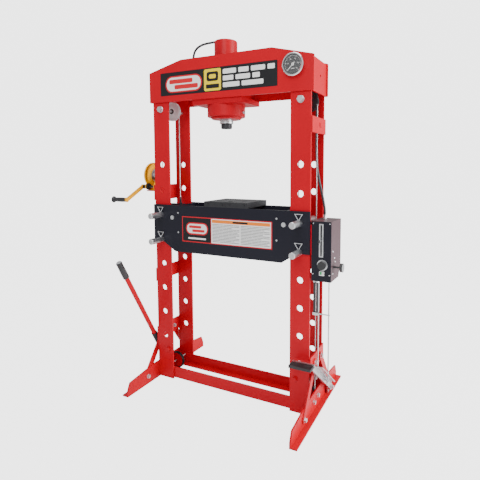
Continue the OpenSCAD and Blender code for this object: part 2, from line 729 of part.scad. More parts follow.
// The pump block inside the case, bolted to the tie plate through the case's back
module pump_body() {
    color("silver") {
        translate([pump_x + case_t, pump_y + 62, pump_z + 70]) cube([50, 50, 190]);
        difference() {
            translate([pump_x + case_t, lever_y - 14, lever_z - 16]) cube([42, pump_y + 62 - lever_y + 14, 32]);
            bar_x(8 + 2 * run_gap, pump_x + case_t + 22, pump_x + case_t + 60, lever_y, lever_z);
        }
        translate([pump_x + case_t + 26, pump_y + 87, pump_z + 260]) cylinder(d = 40, h = pump_h - 260 - case_t);
    }
}
lever_y = pump_y + 26;
lever_z = slot_z + slot_h / 2;
module valve_lever() {
    color("silver") {
        bar_x(20, slot_x - 2, slot_x + 2, lever_y, lever_z);
        translate([slot_x - 1.5, lever_y - 62, lever_z - 4]) cube([3, 60, 8]);
        bar_x(16, slot_x - 3, slot_x + 3, lever_y - 62, lever_z);
        bar_x(8, pump_x + case_t + 34, slot_x + 1, lever_y, lever_z);
    }
}
module speed_knob() {
    color([0.1, 0.1, 0.1]) {
        bar_y(42, pump_y - panel_t - 18, pump_y - panel_t - 2.5, knob_x, knob_z);
        bar_y(10, pump_y - panel_t - 2.5, pump_y + 12, knob_x, knob_z);
    }
}
module release_knob() {
    x = pump_x + pump_w;
    color("silver") {
        bar_x(10, x - 12, x + release_len, release_y, release_z);
        bar_x(release_d, x + release_len, x + release_len + 14, release_y, release_z);
    }
}
module air_hoses() {
    z = pump_z - 166;
    color("black") for (x = [10, 26]) translate([pump_x + x, air_y, 0]) {
        translate([0, 0, z]) cylinder(d = 11, h = pump_z - 12 - z);
        translate([0, 0, pump_z - 12]) cylinder(d = 15, h = 12, $fn = 6);
    }
    color("silver") {
        translate([pump_x + 3, air_y - 8, z - 14]) cube([30, 16, 14]);
        bar_x(6, pump_x + 33, pump_x + 92, air_y, z - 7);
    }
}

// The treadle: its arm, pad and the pins that the two rods hang on
pad_z = pivot[1] + pedal_len * sin(pedal_angle) - 12;
pad_w = 118;
pad_l = 64;
pad_t = 14;
plate_w = 50;
plate_t = 4;
plate_l = 330;
rod_slot = 15;
module pedal_arm() {
    end_y = pivot[0] - pedal_len * cos(pedal_angle);
    color("silver") {
        difference() {
            translate([pedal_x, 0, 0]) rotate([90, 0, 90]) linear_extrude(plate_w) difference() {
                translate(pivot) rotate(180 - pedal_angle)
                    translate([pedal_len - plate_l, -pedal_h / 2 - plate_t]) square([plate_l, plate_t]);
                translate([end_y - 60, pad_z]) square([200, 60]);
            }
            translate([rod_x[1] - 4, rod_y[1] - 50, pivot[1] - 60]) cube([rod_slot, 110, 300]);
        }
        translate([pedal_x, 0, 0]) rotate([90, 0, 90]) linear_extrude(pedal_t) difference() {
            union() {
                translate(pivot) circle(d = pedal_h + 8);
                translate(pivot) rotate(180 - pedal_angle) translate([0, -pedal_h / 2])
                    square([pedal_len, pedal_h]);
            }
            translate(pivot) circle(d = 12 + 2 * run_gap);
            translate([end_y - 60, pad_z]) square([200, 60]);
        }
        bar_x(hang_d, pin_len[0], pedal_x, rod_y[0], pivot[1] + (pivot[0] - rod_y[0]) * tan(pedal_angle));
        bar_x(hang_d, pedal_x + pedal_t, pin_len[1], rod_y[1],
            pivot[1] + (pivot[0] - rod_y[1]) * tan(pedal_angle));
    }
    color("black") translate([pedal_x + pedal_t - pad_w, end_y - pad_l + 30, pad_z]) difference() {
        cube([pad_w, pad_l, pad_t]);
        for (i = [1 : 6]) translate([-1, i * 9 - 2, pad_t - 3]) cube([pad_w + 2, 3, 4]);
    }
}
module pedal_bracket() {
    color("silver") {
        difference() {
            translate([pump_x + 9, pivot[0] - 20, foot_t]) cube([8, 36, 48]);
            bar_x(12 - 0.02, pump_x + 8, pump_x + 18, pivot[0], pivot[1]);
        }
        bar_x(12, pump_x + 9, pedal_x + pedal_t + 4, pivot[0], pivot[1]);
        head_x(pedal_x + pedal_t + 4, pivot[0], pivot[1], 18, 1);
    }
}
module pedal_rod(i) {
    x = rod_x[i];
    y = rod_y[i];
    z = pivot[1] + (pivot[0] - y) * tan(pedal_angle);
    h = hang_d + hang_play;
    color("silver") {
        difference() {
            translate([x, y - 28, z - h / 2 - 6]) cube([link_t, 56, h + 12]);
            translate([x - 1, y - 22, z - h / 2]) cube([link_t + 2, 44, h]);
        }
        translate([x + link_t / 2, y, z + h / 2 + 5]) cylinder(d = rod_d, h = pump_z + 50 - z - h / 2);
    }
}
module pedal_rod_front() { pedal_rod(0); }
module pedal_rod_rear() { pedal_rod(1); }

// Printed plates: the beam's banner, the bed's notice and a small one on the pump
label_t = 0.8;
module labels() {
    color([0.1, 0.1, 0.1]) translate([82 - beam_half, -half_d - beam_t - label_t, beam_z + 34])
        cube([2 * beam_half - 273, label_t, 128]);
    color("white") translate([95 - up_in, -bed_full - label_t, bed_bottom + 64])
        cube([2 * up_in - 190, label_t, 146]);
    color("white") translate([slot_x - 9, pump_y - panel_t - label_t, pump_z + 30]) cube([26, label_t, 22]);
}

upright_front_left();
upright_front_right();
upright_rear_left();
upright_rear_right();
beam_front();
beam_rear();
beam_inner_plates();
cylinder_bracket();
base_beam_front();
base_beam_rear();
foot_left();
foot_right();
foot_struts();
tie_plates();
frame_bolts();
foot_bolts();
pulley_axles();
cylinder_barrel();
cylinder_collar();
bleed_screw();
ram_rod();
ram_tip();
gauge_case();
gauge_needle();
hose_elbow();
oil_hose();
pulley_left();
pulley_right();
lower_pulley_left();
lower_pulley_right();
winch_rope();
rope_ends();
bed_front();
bed_rear();
bed_spacers();
bed_screws();
arbor_plate_left();
arbor_plate_right();
pin_upper_left();
pin_upper_right();
pin_lower_left();
pin_lower_right();
winch_frame();
winch_drum();
winch_crank();
crank_grip();
pump_handle();
handle_socket();
pump_case();
pump_panel();
pump_body();
valve_lever();
speed_knob();
release_knob();
air_hoses();
pedal_arm();
pedal_bracket();
pedal_rod_front();
pedal_rod_rear();
labels();
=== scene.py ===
"""Looks of the hydraulic shop press: paint, plate, printed plates, gauge, hoses and ropes. Metres."""
import json
import math

import bpy
from mathutils import Matrix, Vector

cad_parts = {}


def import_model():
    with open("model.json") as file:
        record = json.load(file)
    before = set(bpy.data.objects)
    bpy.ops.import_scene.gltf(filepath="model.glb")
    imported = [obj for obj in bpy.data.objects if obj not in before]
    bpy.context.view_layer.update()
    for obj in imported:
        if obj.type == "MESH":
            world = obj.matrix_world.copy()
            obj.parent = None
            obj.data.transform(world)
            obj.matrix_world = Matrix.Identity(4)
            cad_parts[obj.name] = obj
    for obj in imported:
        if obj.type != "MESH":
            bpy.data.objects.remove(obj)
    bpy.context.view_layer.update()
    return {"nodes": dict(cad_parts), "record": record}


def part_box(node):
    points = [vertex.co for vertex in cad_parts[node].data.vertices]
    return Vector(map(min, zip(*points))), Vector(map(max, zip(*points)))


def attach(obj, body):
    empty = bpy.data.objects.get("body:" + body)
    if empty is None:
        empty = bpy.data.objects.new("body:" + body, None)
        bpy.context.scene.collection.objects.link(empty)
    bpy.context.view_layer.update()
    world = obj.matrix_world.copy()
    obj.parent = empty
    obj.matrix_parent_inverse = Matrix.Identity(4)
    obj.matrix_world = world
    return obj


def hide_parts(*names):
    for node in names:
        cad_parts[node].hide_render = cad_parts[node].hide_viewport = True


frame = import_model()
NODES = frame["nodes"]
MM = 0.001

# Camera
CAMERA_AT = (1.1726, -2.0118, 1.2912)
CAMERA_YAW = 25.38
CAMERA_PITCH = 4.63
CAMERA_LENS = 30.68
CAMERA_SHIFT = (-0.0625, -0.0837)


def add_camera():
    data = bpy.data.cameras.new("camera")
    data.lens = CAMERA_LENS
    data.shift_x, data.shift_y = CAMERA_SHIFT
    data.clip_end = 60
    camera = bpy.data.objects.new("camera", data)
    camera.location = CAMERA_AT
    camera.rotation_euler = (math.radians(90 - CAMERA_PITCH), 0, math.radians(CAMERA_YAW))
    bpy.context.collection.objects.link(camera)
    bpy.context.scene.camera = camera


add_camera()


# ---------------------------------------------------------------- shader nodes
class Sock:
    """A shader socket; arithmetic on it adds Math nodes."""

    def __init__(self, tree, socket):
        self.tree = tree
        self.socket = socket

    def math(self, operation, *values):
        node = self.tree.nodes.new("ShaderNodeMath")
        node.operation = operation
        for slot, value in zip(node.inputs, values):
            if isinstance(value, Sock):
                self.tree.links.new(value.socket, slot)
            else:
                slot.default_value = value
        return Sock(self.tree, node.outputs[0])

    def __add__(self, other):
        return self.math("ADD", self, other)

    def __radd__(self, other):
        return self.math("ADD", other, self)

    def __sub__(self, other):
        return self.math("SUBTRACT", self, other)

    def __rsub__(self, other):
        return self.math("SUBTRACT", other, self)

    def __mul__(self, other):
        return self.math("MULTIPLY", self, other)

    def __rmul__(self, other):
        return self.math("MULTIPLY", other, self)


class Finish:
    """One procedural material: a Principled shader and the nodes that feed it."""

    def __init__(self, name, colour, rough, metal=0.0, coat=0.0):
        self.material = bpy.data.materials.new(name)
        self.material.use_nodes = True
        self.tree = self.material.node_tree
        self.shader = self.tree.nodes["Principled BSDF"]
        self.put("Base Color", (*colour, 1))
        self.put("Roughness", rough)
        self.put("Metallic", metal)
        self.put("Coat Weight", coat)

    def put(self, slot, value):
        target = self.shader.inputs[slot]
        if isinstance(value, Sock):
            self.tree.links.new(value.socket, target)
        else:
            target.default_value = value

    def node(self, kind, settings=None, output=0, **values):
        """Adds a node: its settings first, then values or links for its sockets by name."""
        made = self.tree.nodes.new(kind)
        for key, value in (settings or {}).items():
            setattr(made, key, value)
        for key, value in values.items():
            slot = made.inputs[key.replace("_", " ")]
            if isinstance(value, Sock):
                self.tree.links.new(value.socket, slot)
            else:
                slot.default_value = value
        return Sock(self.tree, made.outputs[output])

    def place(self):
        return self.node("ShaderNodeTexCoord", output=3)

    def stretched(self, scale):
        return self.node("ShaderNodeMapping", Vector=self.place(), Scale=scale)

    def noise(self, scale, detail=3.0, vector=None):
        return self.node("ShaderNodeTexNoise", Vector=vector or self.place(), Scale=scale, Detail=detail)

    def steps(self, factor, low, high):
        return self.node("ShaderNodeMapRange", Value=factor, From_Min=low, From_Max=high)

    def mix(self, factor, first, second):
        made = self.tree.nodes.new("ShaderNodeMix")
        made.data_type = "RGBA"
        self.tree.links.new(factor.socket, made.inputs[0])
        for slot, value in ((made.inputs[6], first), (made.inputs[7], second)):
            if isinstance(value, Sock):
                self.tree.links.new(value.socket, slot)
            else:
                slot.default_value = (*value, 1)
        return Sock(self.tree, made.outputs[2])

    def bump(self, height, strength, distance):
        self.put("Normal", self.node("ShaderNodeBump", Strength=strength, Distance=distance, Height=height))


def darker(colour, share):
    return tuple(c * share for c in colour)


def enamel(name, colour, rough=0.34, coat=0.10, shine=0.3):
    """Sprayed paint: orange peel, faint cloudy patches, fine dust under the gloss."""
    finish = Finish(name, colour, rough, coat=coat)
    finish.shader.inputs["Coat Roughness"].default_value = 0.15
    finish.shader.inputs["Specular IOR Level"].default_value = shine
    patches = finish.steps(finish.noise(5.0, 4.0), 0.35, 0.7)
    specks = finish.steps(finish.noise(900.0, 1.0), 0.70, 0.74)
    shade = finish.mix(patches, colour, darker(colour, 0.88))
    finish.put("Base Color", finish.mix(specks * 0.3, shade, darker(colour, 0.6)))
    finish.put("Roughness", patches * 0.08 + rough - 0.03)
    finish.bump(finish.noise(420.0, 2.0) + finish.noise(40.0, 2.0) * 2.0, 0.10, 0.0006)
    return finish.material


def plated(name, colour, rough, metal=1.0, grain=(1, 1, 1), depth=0.12):
    """Zinc plate or bare metal: cloudy bloom, fine scratches along one way."""
    finish = Finish(name, colour, rough, metal)
    bloom = finish.steps(finish.noise(28.0, 5.0), 0.35, 0.7)
    lines = finish.noise(260.0, 3.0, finish.stretched(grain))
    finish.put("Base Color", finish.mix(bloom, colour, darker(colour, 0.80)))
    finish.put("Roughness", bloom * 0.16 + lines * 0.10 + rough - 0.05)
    finish.bump(lines, depth, 0.0003)
    return finish.material


def moulded(name, colour, rough, size=700.0, strength=0.25):
    """Rubber or plastic with a fine pebble and slightly greyer rubbed spots."""
    finish = Finish(name, colour, rough)
    rubbed = finish.steps(finish.noise(22.0, 3.0), 0.45, 0.75)
    finish.put("Base Color", finish.mix(rubbed, colour, tuple(c * 1.5 + 0.012 for c in colour)))
    finish.put("Roughness", rubbed * 0.12 + rough)
    finish.bump(finish.noise(size, 2.0), strength, 0.0005)
    return finish.material


def printed(name, colour):
    """Ink on a plastic film: faint dots and a soft sheen."""
    finish = Finish(name, colour, 0.5, coat=0.02)
    finish.put("Specular IOR Level", 0.2)
    dots = finish.steps(finish.noise(1500.0, 1.0), 0.4, 0.6)
    finish.put("Base Color", finish.mix(dots * 0.5, colour, darker(colour, 0.90)))
    finish.put("Roughness", dots * 0.06 + 0.46)
    finish.bump(finish.noise(120.0, 2.0), 0.05, 0.0003)
    return finish.material


def stranded(name, colour):
    """Twisted wire: slanted ridges along the rope, with painted shade darkening the grooves between strands.
    """
    finish = Finish(name, colour, 0.35, 1.0)
    wave = finish.node("ShaderNodeTexWave", {"bands_direction": "DIAGONAL"},
                       Vector=finish.place(), Scale=210.0, Distortion=0.4)
    # Painted shade: the grooves between the strands go down to 0.45 of the wire colour.
    finish.put("Base Color", finish.mix(wave, darker(colour, 0.45), colour))
    finish.put("Roughness", wave * 0.15 + 0.28)
    finish.bump(wave, 0.6, 0.0008)
    return finish.material


def braided(name, colour):
    """Hose cover: a fine fabric weave under black rubber."""
    finish = Finish(name, colour, 0.42)
    wave = finish.node("ShaderNodeTexWave", {"bands_direction": "DIAGONAL"},
                       Vector=finish.place(), Scale=160.0, Distortion=1.0)
    finish.put("Base Color", finish.mix(wave, colour, tuple(c * 1.6 + 0.01 for c in colour)))
    finish.put("Roughness", wave * 0.12 + 0.36)
    finish.bump(wave + finish.noise(500.0, 2.0), 0.25, 0.0004)
    return finish.material


RED_PAINT = enamel("red_enamel", (0.52, 0.0004, 0.011), coat=0.03, shine=0.14)
RED_STEEL = enamel("red_enamel_thick", (0.47, 0.0004, 0.010), rough=0.38, coat=0.03, shine=0.14)
BLACK_PAINT = enamel("black_enamel", (0.010, 0.010, 0.018), rough=0.42, coat=0.04, shine=0.2)
YELLOW_PAINT = enamel("yellow_enamel", (0.86, 0.40, 0.001), coat=0.03, shine=0.2)
# Pump case colour: dark warm grey paint lifted to a pinkish grey, partly its own paint and partly painted
# reflection of the white light and red frame on it.
CASE_PAINT_AND_SHEEN = enamel("case_enamel_and_sheen", (0.085, 0.048, 0.056), rough=0.45, coat=0.03, shine=0.25)
ZINC = plated("zinc_plate", (0.70, 0.71, 0.73), 0.30)
TURNED = plated("turned_steel", (0.74, 0.75, 0.77), 0.22, grain=(1, 1, 14))
SHEAVE = plated("pressed_sheave", (0.80, 0.80, 0.81), 0.42, metal=0.55)
CHROME = plated("hard_chrome", (0.82, 0.83, 0.85), 0.10, grain=(1, 1, 10), depth=0.05)
BLACK_STEEL = plated("black_oxide", (0.05, 0.05, 0.055), 0.42, metal=0.8)
CAST = plated("cast_aluminium", (0.6, 0.6, 0.61), 0.5, metal=0.9, depth=0.3)
RUBBER = moulded("black_rubber", (0.014, 0.014, 0.016), 0.5)
KNOB_PLASTIC = moulded("black_plastic", (0.02, 0.02, 0.022), 0.32, 900.0, 0.12)
WHITE_PAINT = printed("needle_white", (0.85, 0.85, 0.82))
ROPE_STEEL = stranded("wire_strands", (0.66, 0.67, 0.69))
HOSE_RUBBER = braided("hose_cover", (0.016, 0.016, 0.02))
INK = {"black": printed("ink_black", (0.012, 0.012, 0.014)), "white": printed("ink_white", (0.86, 0.86, 0.85)),
       "red": printed("ink_red", (0.60, 0.012, 0.02)), "yellow": printed("ink_yellow", (0.88, 0.66, 0.004)),
       "orange": printed("ink_orange", (0.87, 0.22, 0.02)), "grey": printed("ink_grey", (0.16, 0.16, 0.17)),
       "green": printed("ink_green", (0.04, 0.36, 0.12))}


def glass(name):
    """Clear lens with a faint smear in its gloss."""
    finish = Finish(name, (0.95, 0.97, 0.97), 0.04)
    finish.put("Alpha", 0.04)
    finish.put("Specular IOR Level", 0.2)
    finish.put("Roughness", finish.noise(30.0, 3.0) * 0.08 + 0.01)
    return finish.material


GLASS = glass("gauge_glass")

# ------------------------------------------------------- finishes of the CAD nodes
SLOT_FINISH = {"red_paint": RED_PAINT, "black_paint": BLACK_PAINT, "zinc": ZINC, "chrome": CHROME,
               "black_steel": BLACK_STEEL, "gauge": CHROME, "needle_white": WHITE_PAINT,
               "rubber": RUBBER, "wire": ROPE_STEEL, "yellow_paint": YELLOW_PAINT,
               "case_grey": CASE_PAINT_AND_SHEEN, "aluminium": CAST, "label": INK["black"]}
NODE_FINISH = {"ram_rod": TURNED, "cylinder_collar": RED_STEEL, "cylinder_bracket": RED_STEEL,
               "cylinder_barrel": RED_STEEL, "speed_knob": KNOB_PLASTIC, "air_hoses": HOSE_RUBBER,
               # pulley_right takes the dark black-oxide finish as painted shade: the dark stands for the
               # shadow it sits in between the uprights, not its own finish.
               "pulley_left": SHEAVE, "pulley_right": BLACK_STEEL,
               "winch_crank": YELLOW_PAINT}
SMOOTH_ANGLE = 32
BEVEL_ANGLE = 38
EDGE = 0.9 * MM


def soften(thing, width=EDGE, segments=2):
    """Rounds the sharp edges a little, inside the solid's own box."""
    bevel = thing.modifiers.new("edge", "BEVEL")
    bevel.width = width
    bevel.segments = segments
    bevel.limit_method = "ANGLE"
    bevel.angle_limit = math.radians(BEVEL_ANGLE)
    bevel.use_clamp_overlap = True
    bevel.harden_normals = False


def smooth(thing):
    for face in thing.data.polygons:
        face.use_smooth = True
    thing.data.set_sharp_from_angle(angle=math.radians(SMOOTH_ANGLE))


def dress_nodes():
    for row in frame["record"]["subparts"]:
        name = row["node"]
        thing = NODES[name]
        thing.data.materials.clear()
        thing.data.materials.append(NODE_FINISH.get(name, SLOT_FINISH[row["material_slot"]]))
        smooth(thing)
        if name not in ("winch_rope", "oil_hose"):
            soften(thing)


def box_centre(low, high):
    return [(a + b) / 2 for a, b in zip(low, high)]


def second_finish(name, material, chosen):
    """Gives the node's faces whose centre passes the test another finish."""
    thing = NODES[name]
    thing.data.materials.append(material)
    index = len(thing.data.materials) - 1
    for face in thing.data.polygons:
        if chosen(face.center, face.normal):
            face.material_index = index


dress_nodes()

HANDLE_TILT = math.radians(28.5)
HANDLE_AXIS = Vector((0, -math.sin(HANDLE_TILT), math.cos(HANDLE_TILT)))
HANDLE_FOOT = Vector((0, -70, 206)) * MM
GRIP_START = 526 * MM
SHELF_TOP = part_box("winch_frame")[0][2] + 6.2 * MM
PAD_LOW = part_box("pedal_arm")[1][2] - 14.5 * MM
CASE_FACE_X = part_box("pump_case")[1][0]
CAP_START = GRIP_START + 90 * MM
PAD_BACK_Y = -0.14
KNOB_STEM_END = CASE_FACE_X + 49.5 * MM
PANEL_TRIM = 1.5 * MM
LEVER_TIP = 16 * MM
HOSE_FITTING = 12.2 * MM
PULLEY_HUB_R = 16.5 * MM
DRUM_FLANGE_R = 43 * MM
WHEEL_DISC_R = 43 * MM
CRANK_BOSS = 12 * MM

second_finish("pump_handle", RUBBER,
              lambda c, n: (Vector((0, c.y, c.z)) - HANDLE_FOOT).dot(HANDLE_AXIS) > GRIP_START)
second_finish("winch_frame", RED_PAINT, lambda c, n: c.z < SHELF_TOP)
second_finish("pedal_arm", RUBBER, lambda c, n: c.z > PAD_LOW and c.y < PAD_BACK_Y)
second_finish("release_knob", KNOB_PLASTIC, lambda c, n: CASE_FACE_X + 1 * MM < c.x < KNOB_STEM_END)
second_finish("pump_panel", ZINC, lambda c, n: c.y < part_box("pump_panel")[0][1] + PANEL_TRIM)
second_finish("valve_lever", KNOB_PLASTIC, lambda c, n: c.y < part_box("valve_lever")[0][1] + LEVER_TIP)
second_finish("air_hoses", ZINC, lambda c, n: c.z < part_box("air_hoses")[0][2] + HOSE_FITTING
              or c.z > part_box("air_hoses")[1][2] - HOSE_FITTING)
second_finish("pump_handle", ZINC, lambda c, n: n.dot(HANDLE_AXIS) > 0.9
              and (Vector((0, c.y, c.z)) - HANDLE_FOOT).dot(HANDLE_AXIS) > CAP_START)
PULLEY_AT = box_centre(*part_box("pulley_left"))
DRUM_AT = box_centre(*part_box("winch_drum"))
second_finish("pulley_left", KNOB_PLASTIC,
              lambda c, n: math.hypot(c.x - PULLEY_AT[0], c.z - PULLEY_AT[2]) < PULLEY_HUB_R)
second_finish("winch_drum", YELLOW_PAINT,
              lambda c, n: math.hypot(c.y - DRUM_AT[1], c.z - DRUM_AT[2]) > DRUM_FLANGE_R)
for name in ("lower_pulley_left", "lower_pulley_right"):
    second_finish(name, RED_PAINT, lambda c, n, at=box_centre(*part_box(name)):
                  math.hypot(c.x - at[0], c.z - at[2]) < WHEEL_DISC_R)
second_finish("winch_crank", BLACK_STEEL, lambda c, n: c.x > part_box("crank_grip")[1][0] + CRANK_BOSS)


# ------------------------------------------------------------------ building help
def add_mesh(name, verts, faces, body, material, shade=True):
    mesh = bpy.data.meshes.new(name)
    mesh.from_pydata([tuple(v) for v in verts], [], faces)
    mesh.update()
    thing = bpy.data.objects.new(name, mesh)
    bpy.context.collection.objects.link(thing)
    mesh.materials.append(material)
    if shade:
        smooth(thing)
    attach(thing, body)
    return thing


def lathe(profile, turns=64):
    """Vertices and faces of a profile of (radius, height) turned about +Z."""
    verts, faces = [], []
    count = len(profile)
    for i in range(turns):
        angle = 2 * math.pi * i / turns
        for radius, height in profile:
            verts.append(Vector((radius * math.cos(angle), radius * math.sin(angle), height)))
    for i in range(turns):
        j = (i + 1) % turns
        for k in range(count):
            n = (k + 1) % count
            faces.append((i * count + k, j * count + k, j * count + n, i * count + n))
    return verts, faces


def facing_front(verts, centre):
    """Turns shapes built about +Z to face -Y at centre."""
    turn = Matrix.Translation(centre) @ Matrix.Rotation(math.radians(90), 4, "X")
    return [turn @ v for v in verts]


def rounded_outline(w, h, r, steps=5):
    points = []
    for cx, cy, start in ((w / 2 - r, h / 2 - r, 0), (-w / 2 + r, h / 2 - r, 90),
                          (-w / 2 + r, -h / 2 + r, 180), (w / 2 - r, -h / 2 + r, 270)):
        for i in range(steps + 1):
            a = math.radians(start + 90 * i / steps)
            points.append((cx + r * math.cos(a), cy + r * math.sin(a)))
    return points


class Print:
    """Flat printed shapes on a front face, gathered by colour into one thin piece each."""

    def __init__(self, name, centre, body, depth):
        self.name, self.centre, self.body, self.depth = name, Vector(centre), body, depth
        self.parts = {}

    def shape(self, ink, outline, layer):
        verts, faces = self.parts.setdefault(ink, ([], []))
        base, n = len(verts), len(outline)
        front = -self.depth * layer
        for y in (front + self.depth * 0.9, front):
            verts.extend(self.centre + Vector((x, y, z)) for x, z in outline)
        faces.append(tuple(base + n + k for k in range(n)))
        faces.append(tuple(base + k for k in reversed(range(n))))
        for k in range(n):
            m = (k + 1) % n
            faces.append((base + k, base + m, base + n + m, base + n + k))

    def block(self, ink, x, z, w, h, layer, r=0.0):
        r = min(r or min(w, h) * 0.12, min(w, h) * 0.49)
        self.shape(ink, [(x + a, z + b) for a, b in rounded_outline(w, h, r)], layer)

    def finish(self):
        made = []
        for ink, (verts, faces) in self.parts.items():
            made.append(add_mesh(f"{self.name}_{ink}", verts, faces, self.body, INK[ink], False))
        return made


# ------------------------------------------------------------------ printed plates
INK_T = 0.12 * MM
BEAM_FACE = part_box("beam_front")[0][1]
BED_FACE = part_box("bed_front")[0][1]
PANEL_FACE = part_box("pump_case")[0][1] - 3 * MM


def words(sheet, ink, x0, x1, z, h, lengths, layer):
    """A row of plain bars, as long as the words they stand for."""
    gap = h * 0.55
    total = sum(lengths)
    room = (x1 - x0) - gap * (len(lengths) - 1)
    x = x0
    for length in lengths:
        w = room * length / total
        sheet.block(ink, x + w / 2, z, w, h, layer, h * 0.2)
        x += w + gap


def beam_banner():
    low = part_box("beam_front")[0]
    sheet = Print("beam_banner", (-54.5 * MM, BEAM_FACE, low[2] + 98 * MM), "frame", INK_T)
    sheet.block("black", 0, 0, 737 * MM, 128 * MM, 1, 4 * MM)
    sheet.block("red", -208 * MM, -4 * MM, 250 * MM, 92 * MM, 2, 44 * MM)
    sheet.block("white", -208 * MM, -4 * MM, 232 * MM, 76 * MM, 3, 36 * MM)
    sheet.block("red", -226 * MM, 11 * MM, 160 * MM, 24 * MM, 4, 7 * MM)
    sheet.block("red", -190 * MM, -20 * MM, 160 * MM, 24 * MM, 4, 7 * MM)
    sheet.block("yellow", -16 * MM, 0, 108 * MM, 116 * MM, 2, 10 * MM)
    sheet.block("black", -16 * MM, 18 * MM, 74 * MM, 50 * MM, 3, 12 * MM)
    sheet.block("yellow", -16 * MM, 18 * MM, 44 * MM, 22 * MM, 4, 8 * MM)
    sheet.block("black", -16 * MM, -34 * MM, 84 * MM, 22 * MM, 3, 5 * MM)
    words(sheet, "white", 50 * MM, 354 * MM, 37 * MM, 25 * MM, (4, 3, 4, 2), 2)
    words(sheet, "white", 50 * MM, 270 * MM, 2 * MM, 25 * MM, (3, 4, 2), 2)
    words(sheet, "white", 50 * MM, 290 * MM, -33 * MM, 25 * MM, (4, 5), 2)
    return sheet.finish()


def bed_notice():
    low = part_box("bed_front")[0]
    sheet = Print("bed_notice", (0, BED_FACE, low[2] + 137 * MM), "frame", INK_T)
    sheet.block("red", 0, 0, 572 * MM, 146 * MM, 1, 3 * MM)
    sheet.block("black", -186 * MM, 0, 190 * MM, 136 * MM, 2, 2 * MM)
    sheet.block("red", -184 * MM, 6 * MM, 150 * MM, 70 * MM, 3, 33 * MM)
    sheet.block("white", -184 * MM, 6 * MM, 134 * MM, 54 * MM, 4, 25 * MM)
    sheet.block("red", -196 * MM, 16 * MM, 84 * MM, 15 * MM, 5, 5 * MM)
    sheet.block("red", -174 * MM, -6 * MM, 84 * MM, 15 * MM, 5, 5 * MM)
    sheet.block("white", -184 * MM, -50 * MM, 120 * MM, 9 * MM, 3, 3 * MM)
    sheet.block("white", 96 * MM, 0, 366 * MM, 136 * MM, 2, 2 * MM)
    sheet.block("orange", 96 * MM, 55 * MM, 358 * MM, 18 * MM, 3, 2 * MM)
    sheet.block("black", 96 * MM, 55 * MM, 92 * MM, 10 * MM, 4, 2 * MM)
    for column in (0, 1):
        x0 = (-80 + column * 180) * MM
        for row in range(13):
            lengths = ((5, 3, 7, 4), (6, 2, 5, 3, 4), (3, 8, 4), (7, 4, 5, 2))[(row + column) % 4]
            shrink = (12 + 9 * ((row * 7 + column * 3) % 5)) * MM if row % 3 == 2 else 0
            words(sheet, "grey", x0, x0 + 172 * MM - shrink, (38 - row * 8) * MM, 3.2 * MM, lengths, 3)
    return sheet.finish()


def pump_label():
    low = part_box("pump_panel")[0]
    x = low[0] + 54 * MM
    sheet = Print("pump_label", (x, PANEL_FACE, low[2] + 41 * MM), "frame", INK_T)
    sheet.block("white", 0, 0, 26 * MM, 22 * MM, 1, 1.5 * MM)
    sheet.block("green", -5 * MM, 1 * MM, 11 * MM, 16 * MM, 2, 1.5 * MM)
    for row in range(3):
        words(sheet, "grey", 2 * MM, 11 * MM, (6 - row * 5) * MM, 1.6 * MM, (4, 3), 2)
    return sheet.finish()


plates = beam_banner() + bed_notice() + pump_label()
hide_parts("labels")

# --------------------------------------------------------------------------- gauge
GAUGE_LOW, GAUGE_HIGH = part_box("gauge_case")
GAUGE_AT = Vector(box_centre(GAUGE_LOW, GAUGE_HIGH))
GAUGE_R = (GAUGE_HIGH[0] - GAUGE_LOW[0]) / 2
DIAL_Y = BEAM_FACE - 19 * MM
LENS_Y = BEAM_FACE - 24.6 * MM
BEZEL = 7 * MM
SCALE_START = 225
SCALE_SWEEP = 270
second_finish("gauge_case", INK["black"],
              lambda c, n: c.y > DIAL_Y - 0.3 * MM and n.y < -0.5
              and math.hypot(c.x - GAUGE_AT.x, c.z - GAUGE_AT.z) < GAUGE_R - BEZEL)


def gauge_marks():
    """Scale rings and ticks over 270 degrees, with a red stretch at its end."""
    sheet = Print("gauge_mark", (GAUGE_AT.x, DIAL_Y, GAUGE_AT.z), "frame", 0.15 * MM)
    sweep, start, count = SCALE_SWEEP, SCALE_START, 25

    def bar(ink, angle, r0, r1, w, layer=1):
        a = math.radians(angle)
        out, side = (math.cos(a), math.sin(a)), (-math.sin(a), math.cos(a))
        sheet.shape(ink, [(out[0] * r + side[0] * s, out[1] * r + side[1] * s)
                          for r, s in ((r0, -w), (r1, -w), (r1, w), (r0, w))], layer)

    for i in range(count + 1):
        long = i % 5 == 0
        inner, half_width = (35, 0.7) if long else (38.5, 0.3)
        bar("white", start - sweep * i / count, inner * MM, 42 * MM, half_width * MM)
    for i in range(10):
        bar("red", start - sweep * (41 + i) / 50, 43 * MM, 45.4 * MM, 1.6 * MM)
    for i in range(72):
        a = start - sweep * (i + 0.5) / 72
        bar("white", a, 42 * MM, 42.5 * MM, 1.9 * MM, 2)
    sheet.block("white", 0, -20 * MM, 18 * MM, 2.4 * MM, 1)
    sheet.finish()


def gauge_numbers():
    """Small numbers round the dial."""
    for i, text in enumerate(("0", "10", "20", "30", "40", "50")):
        a = math.radians(SCALE_START - SCALE_SWEEP * i / 5)
        curve = bpy.data.curves.new(f"gauge_number_{i}", "FONT")
        curve.body = text
        curve.size = 8 * MM
        curve.align_x, curve.align_y = "CENTER", "CENTER"
        curve.extrude = 0.08 * MM
        curve.materials.append(INK["white"])
        thing = bpy.data.objects.new(curve.name, curve)
        bpy.context.collection.objects.link(thing)
        r = 27 * MM
        thing.location = (GAUGE_AT.x + r * math.cos(a), DIAL_Y - 0.15 * MM, GAUGE_AT.z + r * math.sin(a))
        thing.rotation_euler = (math.radians(90), 0, 0)
        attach(thing, "frame")


